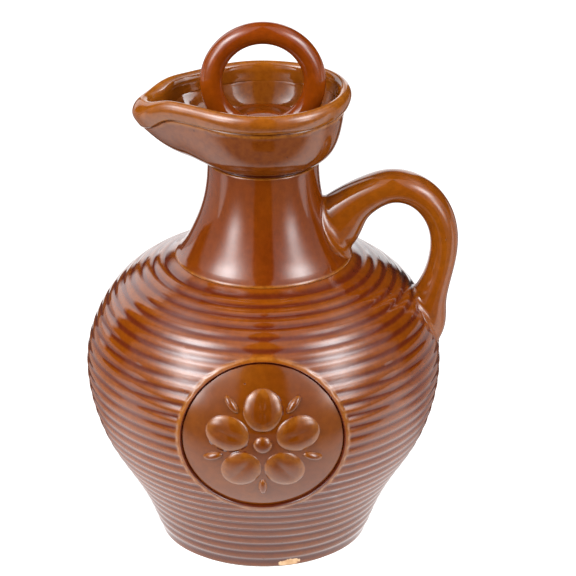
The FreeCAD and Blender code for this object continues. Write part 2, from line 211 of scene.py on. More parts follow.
class Builder:
    """Collects rings of points and the faces between them, then makes one closed mesh."""

    def __init__(self):
        self.points = []
        self.marks = []
        self.faces = []
        self.count = 0

    def ring(self, points, pool=0.0, thin=0.0):
        """Adds points, with how much glaze pools (on bare clay, how dark it is, painted contact shade on the
        foot's edge included) and how thin it is there, and gives their numbers.
        """
        points = np.asarray(points, float)
        amount = len(points)
        self.points.append(points)
        marks = np.empty((amount, 2))
        marks[:, 0] = pool
        marks[:, 1] = thin
        self.marks.append(marks)
        self.count += amount
        return np.arange(self.count - amount, self.count)

    def join(self, low, high, keep=None):
        """Quads between two rings of the same length; keep leaves some out."""
        quads = np.column_stack([low, np.roll(low, -1), np.roll(high, -1), high])
        self.faces.append(quads if keep is None else quads[keep])

    def join_all(self, rings):
        for low, high in zip(rings, rings[1:]):
            self.join(low, high)

    def close(self, ring):
        """A fan from a ring to its middle."""
        points = np.concatenate(self.points)[ring]
        marks = np.concatenate(self.marks)[ring]
        middle = self.ring([points.mean(0)], marks[:, 0].mean(), marks[:, 1].mean())[0]
        after = np.roll(ring, -1)
        self.faces.append(np.column_stack([ring, after, np.full(len(ring), middle), np.full(len(ring), -1)]))

    def enclose(self, rings):
        """One solid from rings in a row, closed at both ends."""
        self.join_all(rings)
        self.close(rings[0])
        self.close(rings[-1])

    def first_point(self, ring):
        return np.concatenate(self.points)[ring[0]]

    def make(self, name, body, slot, material, *nodes):
        """The mesh in metres, riding its body, in place of the CAD nodes; the slot argument is not used."""
        points = np.concatenate(self.points) * MM
        marks = np.concatenate(self.marks)
        faces = np.concatenate(self.faces)
        used = np.zeros(len(points), bool)
        used[faces[faces >= 0]] = True
        renumber = np.cumsum(used) - 1
        rows = [[int(renumber[k]) for k in face if k >= 0] for face in faces]
        mesh = bpy.data.meshes.new(name)
        mesh.from_pydata(points[used].tolist(), [], rows)
        for column, label in enumerate(("pool", "thin")):
            layer = mesh.attributes.new(label, "FLOAT", "POINT")
            layer.data.foreach_set("value", marks[used][:, column].astype(np.float32))
        work = bmesh.new()
        work.from_mesh(mesh)
        bmesh.ops.recalc_face_normals(work, faces=work.faces)
        work.to_mesh(mesh)
        work.free()
        mesh.polygons.foreach_set("use_smooth", np.ones(len(mesh.polygons), bool))
        piece = bpy.data.objects.new(name, mesh)
        bpy.context.scene.collection.objects.link(piece)
        mesh.materials.append(material)
        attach(piece, body)
        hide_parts(*nodes)
        return piece


def round_axis(radius, height, turns):
    """Points round the turning axis; a turn of 0 is at the front, a quarter turn at the handle."""
    radius = np.broadcast_to(radius, turns.shape)
    height = np.broadcast_to(height, turns.shape)
    return np.column_stack([radius * np.sin(turns), -radius * np.cos(turns), height])


def even_turns(count):
    return 2 * np.pi * np.arange(count) / count


class Waver:
    """A slow, seeded unevenness that closes on itself round the axis."""

    def __init__(self, seed, size, waves):
        draw = np.random.default_rng(seed).uniform
        self.size = size
        self.terms = [(k, draw(0.02, 0.16), draw(0, 2 * np.pi), draw(0.4, 1)) for k in waves]

    def __call__(self, turns, heights):
        waves = [share * np.sin(k * turns + pitch * heights + shift) for k, pitch, shift, share in self.terms]
        return self.size * sum(waves) / len(waves)


class Outline:
    """A surface of revolution's smooth outline, by distance along it."""

    def __init__(self, outline, count=1600):
        line = smooth_line([(radius, height) for height, radius in outline], count)
        self.radius, self.height = line.T
        self.length = running_length(line)
        along = np.gradient(line, axis=0)
        along /= np.linalg.norm(along, axis=1)[:, None]
        self.out_radius, self.out_height = along[:, 1], -along[:, 0]

    def at(self, distance):
        """Radius, height and outward direction at distances along the outline."""
        parts = (self.radius, self.height, self.out_radius, self.out_height)
        return [np.interp(distance, self.length, part) for part in parts]

    def distance_at_height(self, height):
        return np.interp(height, self.height, self.length)

    def gap_to(self, points):
        """Signed distance of points to the surface, positive outside, and the outward direction there."""
        radius = np.hypot(points[:, 0], points[:, 1])
        height = points[:, 2]
        best = np.full(len(points), 1e9)
        nearest = np.zeros(len(points), int)
        for k in range(0, len(self.radius), 4):
            apart = (radius - self.radius[k]) ** 2 + (height - self.height[k]) ** 2
            closer = apart < best
            best[closer] = apart[closer]
            nearest[closer] = k
        out_r, out_h = self.out_radius[nearest], self.out_height[nearest]
        gap = (radius - self.radius[nearest]) * out_r + (height - self.height[nearest]) * out_h
        side = np.column_stack([points[:, 0], points[:, 1]]) / np.maximum(radius, 1e-6)[:, None]
        outward = np.column_stack([side[:, 0] * out_r, side[:, 1] * out_r, out_h])
        return gap, outward


def fade(value, start, end):
    """0 before start and 1 after end, smoothly."""
    share = np.clip((value - start) / (end - start), 0, 1)
    return share * share * (3 - 2 * share)


# ---------------------------------------------------------------- glaze and clay

def new(tree, kind):
    return tree.nodes.new("ShaderNode" + kind)


def mix(tree, share, first, second):
    """Mixes two colours; each may be a socket or a colour, and share a socket or a number."""
    made = new(tree, "Mix")
    made.data_type = "RGBA"
    for socket, value in ((made.inputs[0], share), (made.inputs[6], first), (made.inputs[7], second)):
        if hasattr(value, "node"):
            tree.links.new(value, socket)
        else:
            socket.default_value = value
    return made.outputs[2]


def ramp(tree, value, low, high, out_low=0.0, out_high=1.0):
    """Smoothly from one value to another; where low is over high, the rise is turned round."""
    made = new(tree, "MapRange")
    made.interpolation_type = "SMOOTHSTEP"
    tree.links.new(value, made.inputs["Value"])
    made.inputs["From Min"].default_value = low
    made.inputs["From Max"].default_value = high
    made.inputs["To Min"].default_value = out_low
    made.inputs["To Max"].default_value = out_high
    return made.outputs[0]


def maths(tree, kind, first, second=0.0):
    made = new(tree, "Math")
    made.operation = kind
    for socket, value in zip(made.inputs, (first, second)):
        if hasattr(value, "node"):
            tree.links.new(value, socket)
        else:
            socket.default_value = value
    return made.outputs[0]


def separate(tree, where):
    """The X, Y and Z of a place or a direction."""
    parts = new(tree, "SeparateXYZ")
    tree.links.new(where, parts.inputs[0])
    return parts.outputs


def times(tree, first, second):
    return maths(tree, "MULTIPLY", first, second)


def plus(tree, first, second):
    return maths(tree, "ADD", first, second)


def larger(tree, first, second):
    return maths(tree, "MAXIMUM", first, second)


def noise(tree, where, scale, detail=3.0, roughness=0.55, stretch=None):
    if stretch:
        mapping = new(tree, "Mapping")
        mapping.inputs["Scale"].default_value = stretch
        tree.links.new(where, mapping.inputs["Vector"])
        where = mapping.outputs[0]
    made = new(tree, "TexNoise")
    made.inputs["Scale"].default_value = scale
    made.inputs["Detail"].default_value = detail
    made.inputs["Roughness"].default_value = roughness
    tree.links.new(where, made.inputs["Vector"])
    return made.outputs[0]


def spots(tree, where, scale, size, edge):
    """1 inside small round spots, 0 elsewhere."""
    made = new(tree, "TexVoronoi")
    made.inputs["Scale"].default_value = scale
    tree.links.new(where, made.inputs["Vector"])
    return ramp(tree, made.outputs["Distance"], size, size + edge, 1.0, 0.0)


def mark(tree, label):
    made = new(tree, "Attribute")
    made.attribute_name = label
    return made.outputs["Fac"]


def new_material(name):
    material = bpy.data.materials.new(name)
    material.use_nodes = True
    tree = material.node_tree
    tree.nodes.clear()
    output = new(tree, "OutputMaterial")
    shader = new(tree, "BsdfPrincipled")
    tree.links.new(shader.outputs[0], output.inputs[0])
    where = new(tree, "TexCoord").outputs["Object"]
    return material, tree, shader, where


GLAZE_DEEP = (0.080, 0.0090, 0.0035, 1)
GLAZE_THIN = (0.310, 0.105, 0.0110, 1)
PINHOLE = (0.05, 0.012, 0.004, 1)
CLAY = (0.56, 0.37, 0.21, 1)
CLAY_FRESH = (0.44, 0.25, 0.12, 1)
CLAY_DARK = (0.43, 0.26, 0.14, 1)
CLAY_PALE = (0.64, 0.48, 0.31, 1)
CLAY_SPECK = (0.10, 0.045, 0.02, 1)
CLAY_STAIN_AND_SHADE = (0.055, 0.024, 0.012, 1)

# Levels in metres between which painted shade darkens the body's glaze toward the foot
FOOT_PAINTED_SHADE = (-0.010, 0.062)


def bump(tree, shader, height, distance):
    made = new(tree, "Bump")
    made.inputs["Strength"].default_value = 1.0
    made.inputs["Distance"].default_value = distance
    tree.links.new(height, made.inputs["Height"])
    tree.links.new(made.outputs[0], shader.inputs["Normal"])


def glaze(name, tone, richness, chips=(), foot_painted_shade=1.0):
    """Glossy iron-brown glaze: pooled dark in hollows, golden where it runs thin, with pinholes, and with
    painted shade that darkens it toward the foot, as far as the last argument says.

    A chip is a middle and a size, in metres; there the bare clay shows.
    """
    red, green, blue = tone
    material, tree, shader, where = new_material(name)
    clouds = noise(tree, where, 38.0, 4.0, 0.6)
    runs = noise(tree, where, 55.0, 3.0, 0.5, (1.0, 1.0, 0.22))
    fine = noise(tree, where, 420.0, 3.0, 0.6)
    bright = (red * 1.12, green * 1.25, blue * 1.2, 1)
    pooled = (red * 0.66, green * 0.48, blue * 0.6, 1)
    warm = mix(tree, ramp(tree, clouds, 0.35, 0.68), (red, green, blue, 1), bright)
    dark = mix(tree, ramp(tree, runs, 0.42, 0.72, 0.0, richness), warm, pooled)
    colour = mix(tree, ramp(tree, mark(tree, "pool"), 0.25, 1.0, 0.0, 0.82), dark, GLAZE_DEEP)
    thin = times(tree, mark(tree, "thin"), ramp(tree, fine, 0.3, 0.6, 0.55, 1.0))
    colour = mix(tree, thin, colour, GLAZE_THIN)
    grain = ramp(tree, fine, 0.3, 0.7, 0.90, 1.08)
    # Painted shade: the colour darkens toward the foot, standing in for shade near the floor.
    shaded = ramp(tree, separate(tree, where)["Z"], *FOOT_PAINTED_SHADE, foot_painted_shade, 1.0)
    grain = times(tree, grain, shaded)
    shade = new(tree, "HueSaturation")
    tree.links.new(colour, shade.inputs["Color"])
    tree.links.new(grain, shade.inputs["Value"])
    colour = shade.outputs[0]
    pinholes = spots(tree, where, 230.0, 0.045, 0.03)
    sparse = ramp(tree, noise(tree, where, 90.0, 1.0), 0.60, 0.66)
    pinholes = times(tree, pinholes, sparse)
    colour = mix(tree, times(tree, pinholes, 0.8), colour, PINHOLE)
    rough = ramp(tree, fine, 0.3, 0.7, 0.055, 0.10)
    peel = noise(tree, where, 260.0, 2.0, 0.5)
    swell = noise(tree, where, 70.0, 2.0, 0.5)
    height = plus(tree, times(tree, swell, 2.2), times(tree, peel, 0.35))
    height = maths(tree, "SUBTRACT", height, times(tree, pinholes, 1.2))
    for (x, y, z), (wide, tall) in chips:
        shifted = new(tree, "Mapping")
        shifted.vector_type = "POINT"
        shifted.inputs["Location"].default_value = (-x / wide, -y / wide, -z / tall)
        shifted.inputs["Scale"].default_value = (1 / wide, 1 / wide, 1 / tall)
        tree.links.new(where, shifted.inputs["Vector"])
        length = new(tree, "VectorMath")
        length.operation = "LENGTH"
        tree.links.new(shifted.outputs[0], length.inputs[0])
        ragged = plus(tree, length.outputs["Value"], ramp(tree, fine, 0.2, 0.8, -0.30, 0.30))
        bare = ramp(tree, ragged, 0.92, 1.06, 1.0, 0.0)
        buff = mix(tree, ramp(tree, fine, 0.35, 0.65), CLAY, CLAY_FRESH)
        colour = mix(tree, bare, colour, buff)
        rough = larger(tree, rough, times(tree, bare, 0.8))
    tree.links.new(colour, shader.inputs["Base Color"])
    tree.links.new(rough, shader.inputs["Roughness"])
    shader.inputs["IOR"].default_value = 1.55
    bump(tree, shader, height, 0.00006)
    return material


def bare_clay(name):
    """Matt buff stoneware with grog specks and turning marks, darkened by the pool mark: lightly over the
    foot, toward the plug's top, and strongly on the foot's outer edge as painted contact shade.
    """
    material, tree, shader, where = new_material(name)
    grain = noise(tree, where, 900.0, 4.0, 0.7)
    patches = noise(tree, where, 60.0, 3.0, 0.6)
    colour = mix(tree, ramp(tree, patches, 0.35, 0.7), CLAY, CLAY_DARK)
    colour = mix(tree, ramp(tree, grain, 0.35, 0.7, 0.0, 0.5), colour, CLAY_PALE)
    specks = spots(tree, where, 420.0, 0.10, 0.05)
    colour = mix(tree, times(tree, specks, 0.7), colour, CLAY_SPECK)
    # Darkened along the pool mark: painted contact shade on the foot's outer edge, a lighter darkening
    # elsewhere.
    colour = mix(tree, mark(tree, "pool"), colour, CLAY_STAIN_AND_SHADE)
    tree.links.new(colour, shader.inputs["Base Color"])
    shader.inputs["Roughness"].default_value = 0.88
    rings = new(tree, "TexWave")
    rings.wave_type = "RINGS"
    rings.rings_direction = "Z"
    rings.inputs["Scale"].default_value = 120.0
    rings.inputs["Distortion"].default_value = 1.5
    tree.links.new(where, rings.inputs["Vector"])
    height = plus(tree, grain, times(tree, rings.outputs["Fac"], 0.4))
    bump(tree, shader, height, 0.00012)
    return material


# ---------------------------------------------------------------- body

body_line = Outline(BODY_OUTLINE)
neck_line = Outline(NECK_OUTLINE)
rib_pitches = np.linspace(RIB_PITCH_FOOT, RIB_PITCH_SHOULDER, RIB_COUNT)
grooves = FIRST_GROOVE + np.concatenate([[0.0], np.cumsum(rib_pitches)])
BODY_END = body_line.length[-1]
rib_wander = Waver(11, 0.16, (1, 2, 3, 5, 7))
rib_swell = Waver(12, 0.10, (2, 3, 6, 9, 14))
wall_swell = Waver(13, 0.14, (1, 2, 3, 4))


def groove_share(distance):
    """0 on the crest of a rib, 1 in a groove; the plain strips at the foot and neck rise from a groove."""
    first, last = grooves[0] - 2 * FIRST_GROOVE + WALL_START, 2 * BODY_END - grooves[-1]
    edges = np.concatenate([[first], grooves, [last]])
    index = np.clip(np.searchsorted(edges, distance, side="right") - 1, 0, len(edges) - 2)
    across = (distance - edges[index]) / (edges[index + 1] - edges[index])
    from_crest = np.abs(2 * across - 1)
    return np.sin(np.pi / 2 * from_crest) ** 2


def border_height(reach):
    """The soft raised border that the ribs run into round the medallion."""
    beyond = reach - MEDALLION_RADIUS
    return BORDER_RISE * np.exp(-((beyond - BORDER_AT) / BORDER_WIDTH) ** 2)


def body_surface(distance, turns):
    """Points of the ribbed wall, with how deep each lies in a groove and how thin its glaze runs."""
    distance, turns = np.broadcast_arrays(np.asarray(distance, float), turns)
    radius, height, out_r, out_h = body_line.at(distance)
    x = radius * np.sin(turns)
    front = np.cos(turns) > 0
    reach = np.where(front, np.hypot(x, height - MEDALLION_HEIGHT), 1e3)
    inside_strip = fade(distance, 0.5, 4.0) * (1 - fade(distance, BODY_END - 4.0, BODY_END - 1.0))
    share = groove_share(distance + rib_wander(turns, distance) * inside_strip)
    bumpy = 0.30 * rib_swell(turns * 3, distance * 4)
    calm = fade(reach, MEDALLION_RADIUS + CALM_FROM + bumpy, MEDALLION_RADIUS + CALM_TO + bumpy)
    deepest = GROOVE_DEPTH_FOOT + (GROOVE_DEPTH_SHOULDER - GROOVE_DEPTH_FOOT) * fade(height, 45.0, 85.0)
    depth = deepest * share * (1 + 1.2 * rib_swell(turns, distance)) * (0.12 + 0.88 * calm)
    lift = wall_swell(turns, distance) * inside_strip - depth + border_height(reach) * (1 + 2.0 * bumpy)
    ring = np.stack([
        (radius + out_r * lift) * np.sin(turns),
        -(radius + out_r * lift) * np.cos(turns),
        height + out_h * lift,
    ], -1)
    golden = np.exp(-((reach - MEDALLION_RADIUS - GOLDEN_AT - bumpy) / GOLDEN_WIDTH) ** 2)
    return ring, share * calm, GOLDEN_SHARE * golden


def on_front(x, z, lift):
    """Points at x and z on the smooth front of the body, lifted off it, for the medallion's parts."""
    distance = body_line.distance_at_height(z)
    radius, height, out_r, out_h = body_line.at(distance)
    turns = np.arcsin(x / radius)
    return np.column_stack([
        (radius + out_r * lift) * np.sin(turns),
        -(radius + out_r * lift) * np.cos(turns),
        height + out_h * lift,
    ])


def wall_rows():
    """Distances of the wall's rows along the outline, several to each rib."""
    steps = 0.5 - 0.5 * np.cos(np.pi * np.arange(8) / 8)
    rows = [np.linspace(WALL_START, grooves[0], 6, endpoint=False)]
    for low, high in zip(grooves, grooves[1:]):
        rows.append(low + (high - low) * steps)
    rows.append(np.linspace(grooves[-1], BODY_END, 8))
    return np.concatenate(rows)


def add_wall(build, distances, turns):
    """The ribbed wall, with a window round the medallion that rings fill down into its pocket."""
    rings = [build.ring(*body_surface(distance, turns)) for distance in distances]
    heights = body_line.at(distances)[1]
    inside_rows = np.flatnonzero(np.abs(heights - MEDALLION_HEIGHT) < MEDALLION_RADIUS + 2.4)
    first_row, last_row = inside_rows[0] - 1, inside_rows[-1] + 1
    inside_columns = np.flatnonzero(np.abs(turns) < math.radians(31.5))
    first_column, last_column = inside_columns[0], inside_columns[-1]
    outside = np.ones(len(turns), bool)
    outside[first_column:last_column] = False
    for row, (low, high) in enumerate(zip(rings, rings[1:])):
        blocked = first_row <= row < last_row
        build.join(low, high, outside if blocked else None)
    grid = np.array(rings)
    edge = np.concatenate([
        grid[first_row, first_column:last_column],
        grid[first_row:last_row, last_column],
        grid[last_row, last_column:first_column:-1],
        grid[last_row:first_row:-1, first_column],
    ])
    radius, height, _, _ = body_line.at(distances[edge // len(turns)])
    x = radius * np.sin(turns[edge % len(turns)])
    around = np.arctan2(height - MEDALLION_HEIGHT, x)
    rim_x, rim_z = np.cos(around), np.sin(around)
    filling = [edge]
    for share in 1 - (1 - np.arange(1, 29) / 28) ** 1.7:
        xs = (1 - share) * x + share * MEDALLION_RADIUS * rim_x
        zs = (1 - share) * height + share * (MEDALLION_HEIGHT + MEDALLION_RADIUS * rim_z)
        distance = body_line.distance_at_height(zs)
        turn = np.arcsin(xs / body_line.at(distance)[0])
        filling.append(build.ring(*body_surface(distance, turn)))
    for inset, lift in ((0.06, 0.0), (0.13, -0.2), (0.16, -0.6), (0.16, -1.6), (0.2, -MEDALLION_POCKET)):
        reach = MEDALLION_RADIUS - inset
        filling.append(build.ring(on_front(reach * rim_x, MEDALLION_HEIGHT + reach * rim_z, lift), 1.0))
    for reach in (22.0, 14.0, 6.0):
        floor = on_front(reach * rim_x, MEDALLION_HEIGHT + reach * rim_z, -MEDALLION_POCKET)
        filling.append(build.ring(floor))
    build.join_all(filling)
    build.close(filling[-1])
    return rings


def add_underside(build, lowest, distance, turns):
    """From the wall's lowest ring round the turned-in edge and across above the foot."""
    radius, height = body_line.at(distance)[:2]
    edge = bezier(
        (radius, height), (radius - 0.25, FOOT_TOP + 0.3), (FOOT_RADIUS + 0.7, FOOT_TOP),
        (FOOT_RADIUS - 0.4, FOOT_TOP), 6,
    )
    rings = [lowest]
    rings += [build.ring(round_axis(r, z, turns), 0.2, 0.35) for r, z in edge[1:]]
    rings += [build.ring(round_axis(r, FOOT_TOP, turns)) for r in (24.0, 12.0, 4.0)]
    build.join_all(rings)
    build.close(rings[-1])


def add_inside(build, highest, turns):
    """From the wall's highest ring in to the neck's bore, down inside the wall and across the floor."""
    rings = [highest]
    for radius in (27.5, 26.0, NECK_BORE[0][1]):
        rings.append(build.ring(round_axis(radius, BODY_TOP - 0.01, turns)))
    floor_edge = FLOOR_TOP + 2.5
    for distance in np.linspace(BODY_END - 3.0, body_line.distance_at_height(floor_edge), 46):
        radius, height, out_r, out_h = body_line.at(distance)
        radius, height = radius - out_r * WALL, height - out_h * WALL
        if height < build.first_point(rings[-1])[2] - 0.05:
            rings.append(build.ring(round_axis(radius, height, turns)))
    radius = np.hypot(*build.first_point(rings[-1])[:2])
    corner = bezier(
        (radius, floor_edge), (radius - 0.6, FLOOR_TOP + 1.0), (radius - 2.0, FLOOR_TOP),
        (radius - 4.0, FLOOR_TOP), 6,
    )
    rings += [build.ring(round_axis(r, z, turns)) for r, z in corner[2:]]
    rings += [build.ring(round_axis(r, FLOOR_TOP, turns)) for r in (20.0, 10.0, 3.0)]
    build.join_all(rings)
    build.close(rings[-1])


def build_body(material):
    turns = even_turns(BODY_COLUMNS) - np.pi
    distances = wall_rows()
    build = Builder()
    rings = add_wall(build, distances, turns)
    add_underside(build, rings[0], distances[0], turns)
    add_inside(build, rings[-1], turns)
    return build.make("ribbed_body", "jug", "amber_glaze", material, "body_shell")


def build_foot(material):
    turns = even_turns(192)
    build = Builder()
    edge = [(20.0, FOOT_TOP), (FOOT_RADIUS - 0.3, FOOT_TOP), (FOOT_RADIUS, FOOT_TOP - 0.2)]
    edge += [(FOOT_RADIUS - 0.1, 0.25), (FOOT_RADIUS - 0.4, 0.03), (FOOT_RADIUS - 1.0, 0.0)]
    groove = [(27.8, 0.0), (27.4, 0.1), (27.1, 0.34), (26.7, 0.4), (26.3, 0.34), (26.0, 0.1), (25.6, 0.0)]
    line = edge + groove + [(18.0, 0.0), (9.0, 0.0), (2.0, 0.0)]
    rough = Waver(21, 0.06, (3, 5, 9, 17, 31))
    rings = []
    for radius, height in line:
        wide = radius + (rough(turns, radius) if radius > 30 else 0)
        # Painted contact shade: the foot's outer edge, where it meets the floor, is darkened strongly; the
        # rest only lightly.
        clay_darkening = 0.85 if radius > FOOT_RADIUS - 0.5 else 0.3
        rings.append(build.ring(round_axis(wide, height, turns), clay_darkening))
    build.enclose(rings)
    return build.make("clay_foot", "jug", "bare_clay", material, "foot_base")


def build_medallion(material):
    around = even_turns(240)
    build = Builder()
    rings = []
    edge = MEDALLION_RADIUS - PANEL_GAP
    fill = MEDALLION_RADIUS - FILL_GAP
    levels = [(reach, -MEDALLION_SINK) for reach in (1.0, 4.0, 8.0, 12.0, 16.0, 19.0, 22.0, 24.0, 25.2)]
    for angle in np.linspace(0, math.pi / 2, 8):
        reach = edge - PANEL_ROUND + PANEL_ROUND * math.sin(angle)
        levels.append((reach, -MEDALLION_SINK - PANEL_ROUND + PANEL_ROUND * math.cos(angle)))
    levels += [(fill, -MEDALLION_SINK - 0.40), (fill, -MEDALLION_POCKET)]
    levels += [(20.0, -MEDALLION_POCKET), (8.0, -MEDALLION_POCKET)]
    uneven = Waver(31, 0.10, (1, 2, 3))
    ragged = Waver(32, 0.22, (5, 9, 14, 21, 33, 47))
    for reach, lift in levels:
        nibbled = reach + ragged(around, 0.0) * fade(reach, 23.0, 25.0) * (reach <= edge)
        x = nibbled * np.cos(around)
        z = MEDALLION_HEIGHT + nibbled * np.sin(around)
        top = lift > -MEDALLION_SINK - 0.5
        swell = uneven(around, reach) * min(reach / 10, 1) if top else 0.0
        pool = fade(reach, edge - 0.6, edge)
        rings.append(build.ring(on_front(x, z, lift + swell), pool))
    build.enclose(rings)
    return build.make("medallion_panel", "jug", "amber_glaze", material, "medallion_disc")


def add_pillow(build, reach, turn, half_length, half_width, crease):
    """One soft raised leaf on the medallion, its long axis along a ray from the centre."""
    around = even_turns(72)
    rings = []
    shares = (0.08, 0.25, 0.42, 0.57, 0.70, 0.80, 0.88, 0.94, 0.975, 1.0, 1.06, 1.06)
    for k, share in enumerate(shares):
        along = reach + half_length * share * np.cos(around)
        across = half_width * share * np.sin(around)
        x = along * math.cos(turn) - across * math.sin(turn)
        z = MEDALLION_HEIGHT + along * math.sin(turn) + across * math.cos(turn)
        rounded = EMBLEM_RISE * max(1 - min(share, 1.0) ** 2.2, 0.0) ** 0.70
        dent = crease * np.exp(-(across / (0.16 * half_width + 0.35)) ** 2) * (1 - share ** 2)
        lift = -MEDALLION_SINK + rounded * (1 - np.maximum(dent, 0))
        if share >= 1.0:
            lift = lift - 0.06
        if k == len(shares) - 1:
            lift = lift - 0.8
        # Golden where the glaze runs thin toward each leaf's edge, and in part a painted highlight along that
        # edge.
        golden = 0.4125 * fade(share, 0.5, 0.9) * (1 - fade(share, 0.96, 1.0))
        rings.append(build.ring(on_front(x, z, lift), 0.9 * float(share >= 1.0), golden))
    build.enclose(rings)


def build_emblem(material):
    build = Builder()
    add_pillow(build, 0.0, 0.0, 3.2, 3.2, 0.0)
    for i in range(PETALS):
        turn = math.pi / 2 + 2 * math.pi * i / PETALS
        add_pillow(build, 12.4, turn, 7.4, 6.6, 0.30)
        add_pillow(build, 17.6, turn + math.pi / PETALS, 3.4, 1.5, 0.0)
    return build.make("blossom_relief", "jug", "amber_glaze", material, "medallion_emblem")


# ---------------------------------------------------------------- neck and cup

def build_neck(material):
    turns = even_turns(256)
    build = Builder()
    outside = smooth_line([(radius, height) for height, radius in NECK_OUTLINE], 60)
    bead = ((28.0, -0.35, 0.0), (29.2, -0.35, 0.0), (29.62, -0.12, 0.0), (29.72, 0.18, 0.8),
            (29.50, 0.62, 0.5), (29.10, 1.0, 0.0))
    line = [(radius, BODY_TOP + above, 0.0, thin) for radius, above, thin in bead]
    line += [(radius, height, 0.0, 0.0) for radius, height in outside if height > BODY_TOP + 1.6]
    edge_radius, edge_height = outside[-1]
    for angle in np.linspace(0, math.pi / 2, 7)[1:]:
        inset = NECK_CORNER - NECK_CORNER * math.cos(angle)
        line.append((edge_radius - inset, edge_height + NECK_CORNER * math.sin(angle), 0.0, 0.5))
    line.append((WAIST_RADIUS + 0.12, edge_height + 0.62, 0.8, 0.0))
    line.append((WAIST_RADIUS, edge_height + 0.7, 1.0, 0.0))
    line.append((WAIST_RADIUS, NECK_TOP + 0.4, 1.0, 0.0))
    bore = smooth_line([(radius, height) for height, radius in NECK_BORE], 24)[::-1]
    line += [(radius, height, 0.0, 0.0) for radius, height in bore]
    line.append((NECK_BORE[0][1], BODY_TOP - 0.35, 0.0, 0.0))
    uneven = Waver(41, 0.07, (1, 2, 3, 5))
    rings = []
    for radius, height, pool, thin in line:
        calm = 1.0 if BODY_TOP + 2 < height < edge_height - 1 and radius > WAIST_RADIUS else 0.0
        rings.append(build.ring(round_axis(radius + calm * uneven(turns, height), height, turns), pool, thin))
    build.join_all(rings + [rings[0]])
    return build.make("neck", "jug", "neck_glaze", material, "neck_collar")


def lip_share(angle, spread, sharpness):
    """1 at the lip's tip, falling to 0 round the cup; the angle is from -X, in degrees."""
    softened = np.sqrt(angle ** 2 + LIP_TIP_SOFTNESS ** 2) - LIP_TIP_SOFTNESS
    return np.exp(-((softened / spread) ** sharpness))


def rim_shape(turns):
    """Radius, height, slant and lip share of the cup's rim at turns measured from the lip."""
    angle = np.degrees(np.abs((turns + np.pi) % (2 * np.pi) - np.pi))

    def radius_at(at):
        back = np.where(at > 90, np.cos(np.radians(at)) ** 2, 0.0)
        return CUP_SIDE_RADIUS + CUP_BACK_EXTRA * back + LIP_REACH * lip_share(at, LIP_SPREAD, LIP_SHARPNESS)

    near = np.maximum(angle - 0.5, 0)
    far = np.minimum(angle + 0.5, 180)
    slope = (radius_at(far) - radius_at(near)) / np.radians(far - near)
    radius = radius_at(angle)
    stretch = np.minimum(np.sqrt(1 + (slope / radius) ** 2), MOST_SLANT)
    back = np.where(angle > 90, np.cos(np.radians(angle)) ** 2, 0.0)
    top = RIM_HEIGHT + RIM_BACK_RISE * back - LIP_DROOP * lip_share(angle, LIP_DROOP_SPREAD, 2)
    return radius, top, stretch, lip_share(angle, LIP_SPREAD, LIP_SHARPNESS)


def cup_turns(count):
    """Turns from the lip, closer together there."""
    even = even_turns(count)
    return np.pi + even + 0.55 * np.sin(even)


def build_loop(name, slot, material, cad_node, section):
    """A closed section carried round the cup; it gives (radius, height, pool, thin) rows for each turn."""
    turns = cup_turns(288)
    radius, top, stretch, lip = rim_shape(turns)
    sections = np.array([section(*values) for values in zip(turns, radius, top, stretch, lip)])
    build = Builder()
    rings = []
    for row in range(sections.shape[1]):
        r, z = sections[:, row, 0], sections[:, row, 1]
        points = np.column_stack([-r * np.cos(turns), -r * np.sin(turns), z])
        rings.append(build.ring(points, sections[:, row, 2], sections[:, row, 3]))
    build.join_all(rings + [rings[0]])
    return build.make(name, "jug", slot, material, cad_node)


rim_uneven = Waver(51, 0.22, (1, 2, 3, 4, 6))
band_uneven = Waver(52, 0.16, (2, 3, 5, 8))


def lip_melt(lip):
    """Toward the lip's tip: what is left of the band's edge, how far its foot tucks under, its extra size."""
    near_tip = float(fade(lip, 0.35, 0.95))
    return 1 - 0.75 * near_tip, LIP_TUCK * near_tip, LIP_EXTRA * near_tip


def bowl_section(turn, widest, top, stretch, lip):
    melt, tuck, extra = lip_melt(lip)
    band_foot = top - BAND_HEIGHT - 1.4 * extra
    bowl_top = (widest - ((BAND_PROUD + BAND_GROOVE) * melt + tuck) * stretch, band_foot)
    corner = (bowl_top[0] - BOWL_LEAN - BOWL_LIP_LEAN * lip, CUP_BOTTOM)
    foot = (WAIST_RADIUS, CUP_BOTTOM)
    join = (widest - BAND_THICKNESS * stretch - extra, band_foot)
    inner_corner = (corner[0] - 3.4 * stretch, CUP_FLOOR)
    seat = (THROAT_RADIUS, CUP_FLOOR)

    def toward(point, goal):
        return tuple(p + CORNER_FULLNESS * (g - p) for p, g in zip(point, goal))

    outer = bezier(foot, toward(foot, corner), toward(bowl_top, corner), bowl_top, 40)
    below_top = bowl_top[1] - outer[:, 1]
    bead = 0.22 * melt * np.exp(-((below_top - 0.95) / 0.35) ** 2)
    outer[:, 0] += bead + 0.5 * rim_uneven(turn, 2.0) * np.exp(-((below_top - 7) / 5) ** 2)
    inner = bezier(join, toward(join, inner_corner), toward(seat, inner_corner), seat, 34)
    pool = 0.85 * melt * np.exp(-((below_top - 0.1) / 0.5) ** 2)
    rows = [(*point, deep, 0.17 + 3.0 * raised) for point, deep, raised in zip(outer, pool, bead)]
    rows[0] = (*outer[0], 0.8, 0.0)
    rows += [(bowl_top[0] - 0.9, bowl_top[1] + 0.5, 1.0, 0.0), (join[0] + 0.4, join[1] + 0.5, 0.0, 0.0)]
    rows += [(r, z, 0.15, 0.30) for r, z in inner]
    rows += [(THROAT_RADIUS, CUP_FLOOR - 0.4, 0.6, 0.0), (THROAT_RADIUS, CUP_BOTTOM + 0.5, 0.6, 0.0)]
    rows += [(THROAT_RADIUS + 0.3, CUP_BOTTOM, 0.6, 0.0), (WAIST_RADIUS - 0.8, CUP_BOTTOM, 0.8, 0.0)]
    return rows


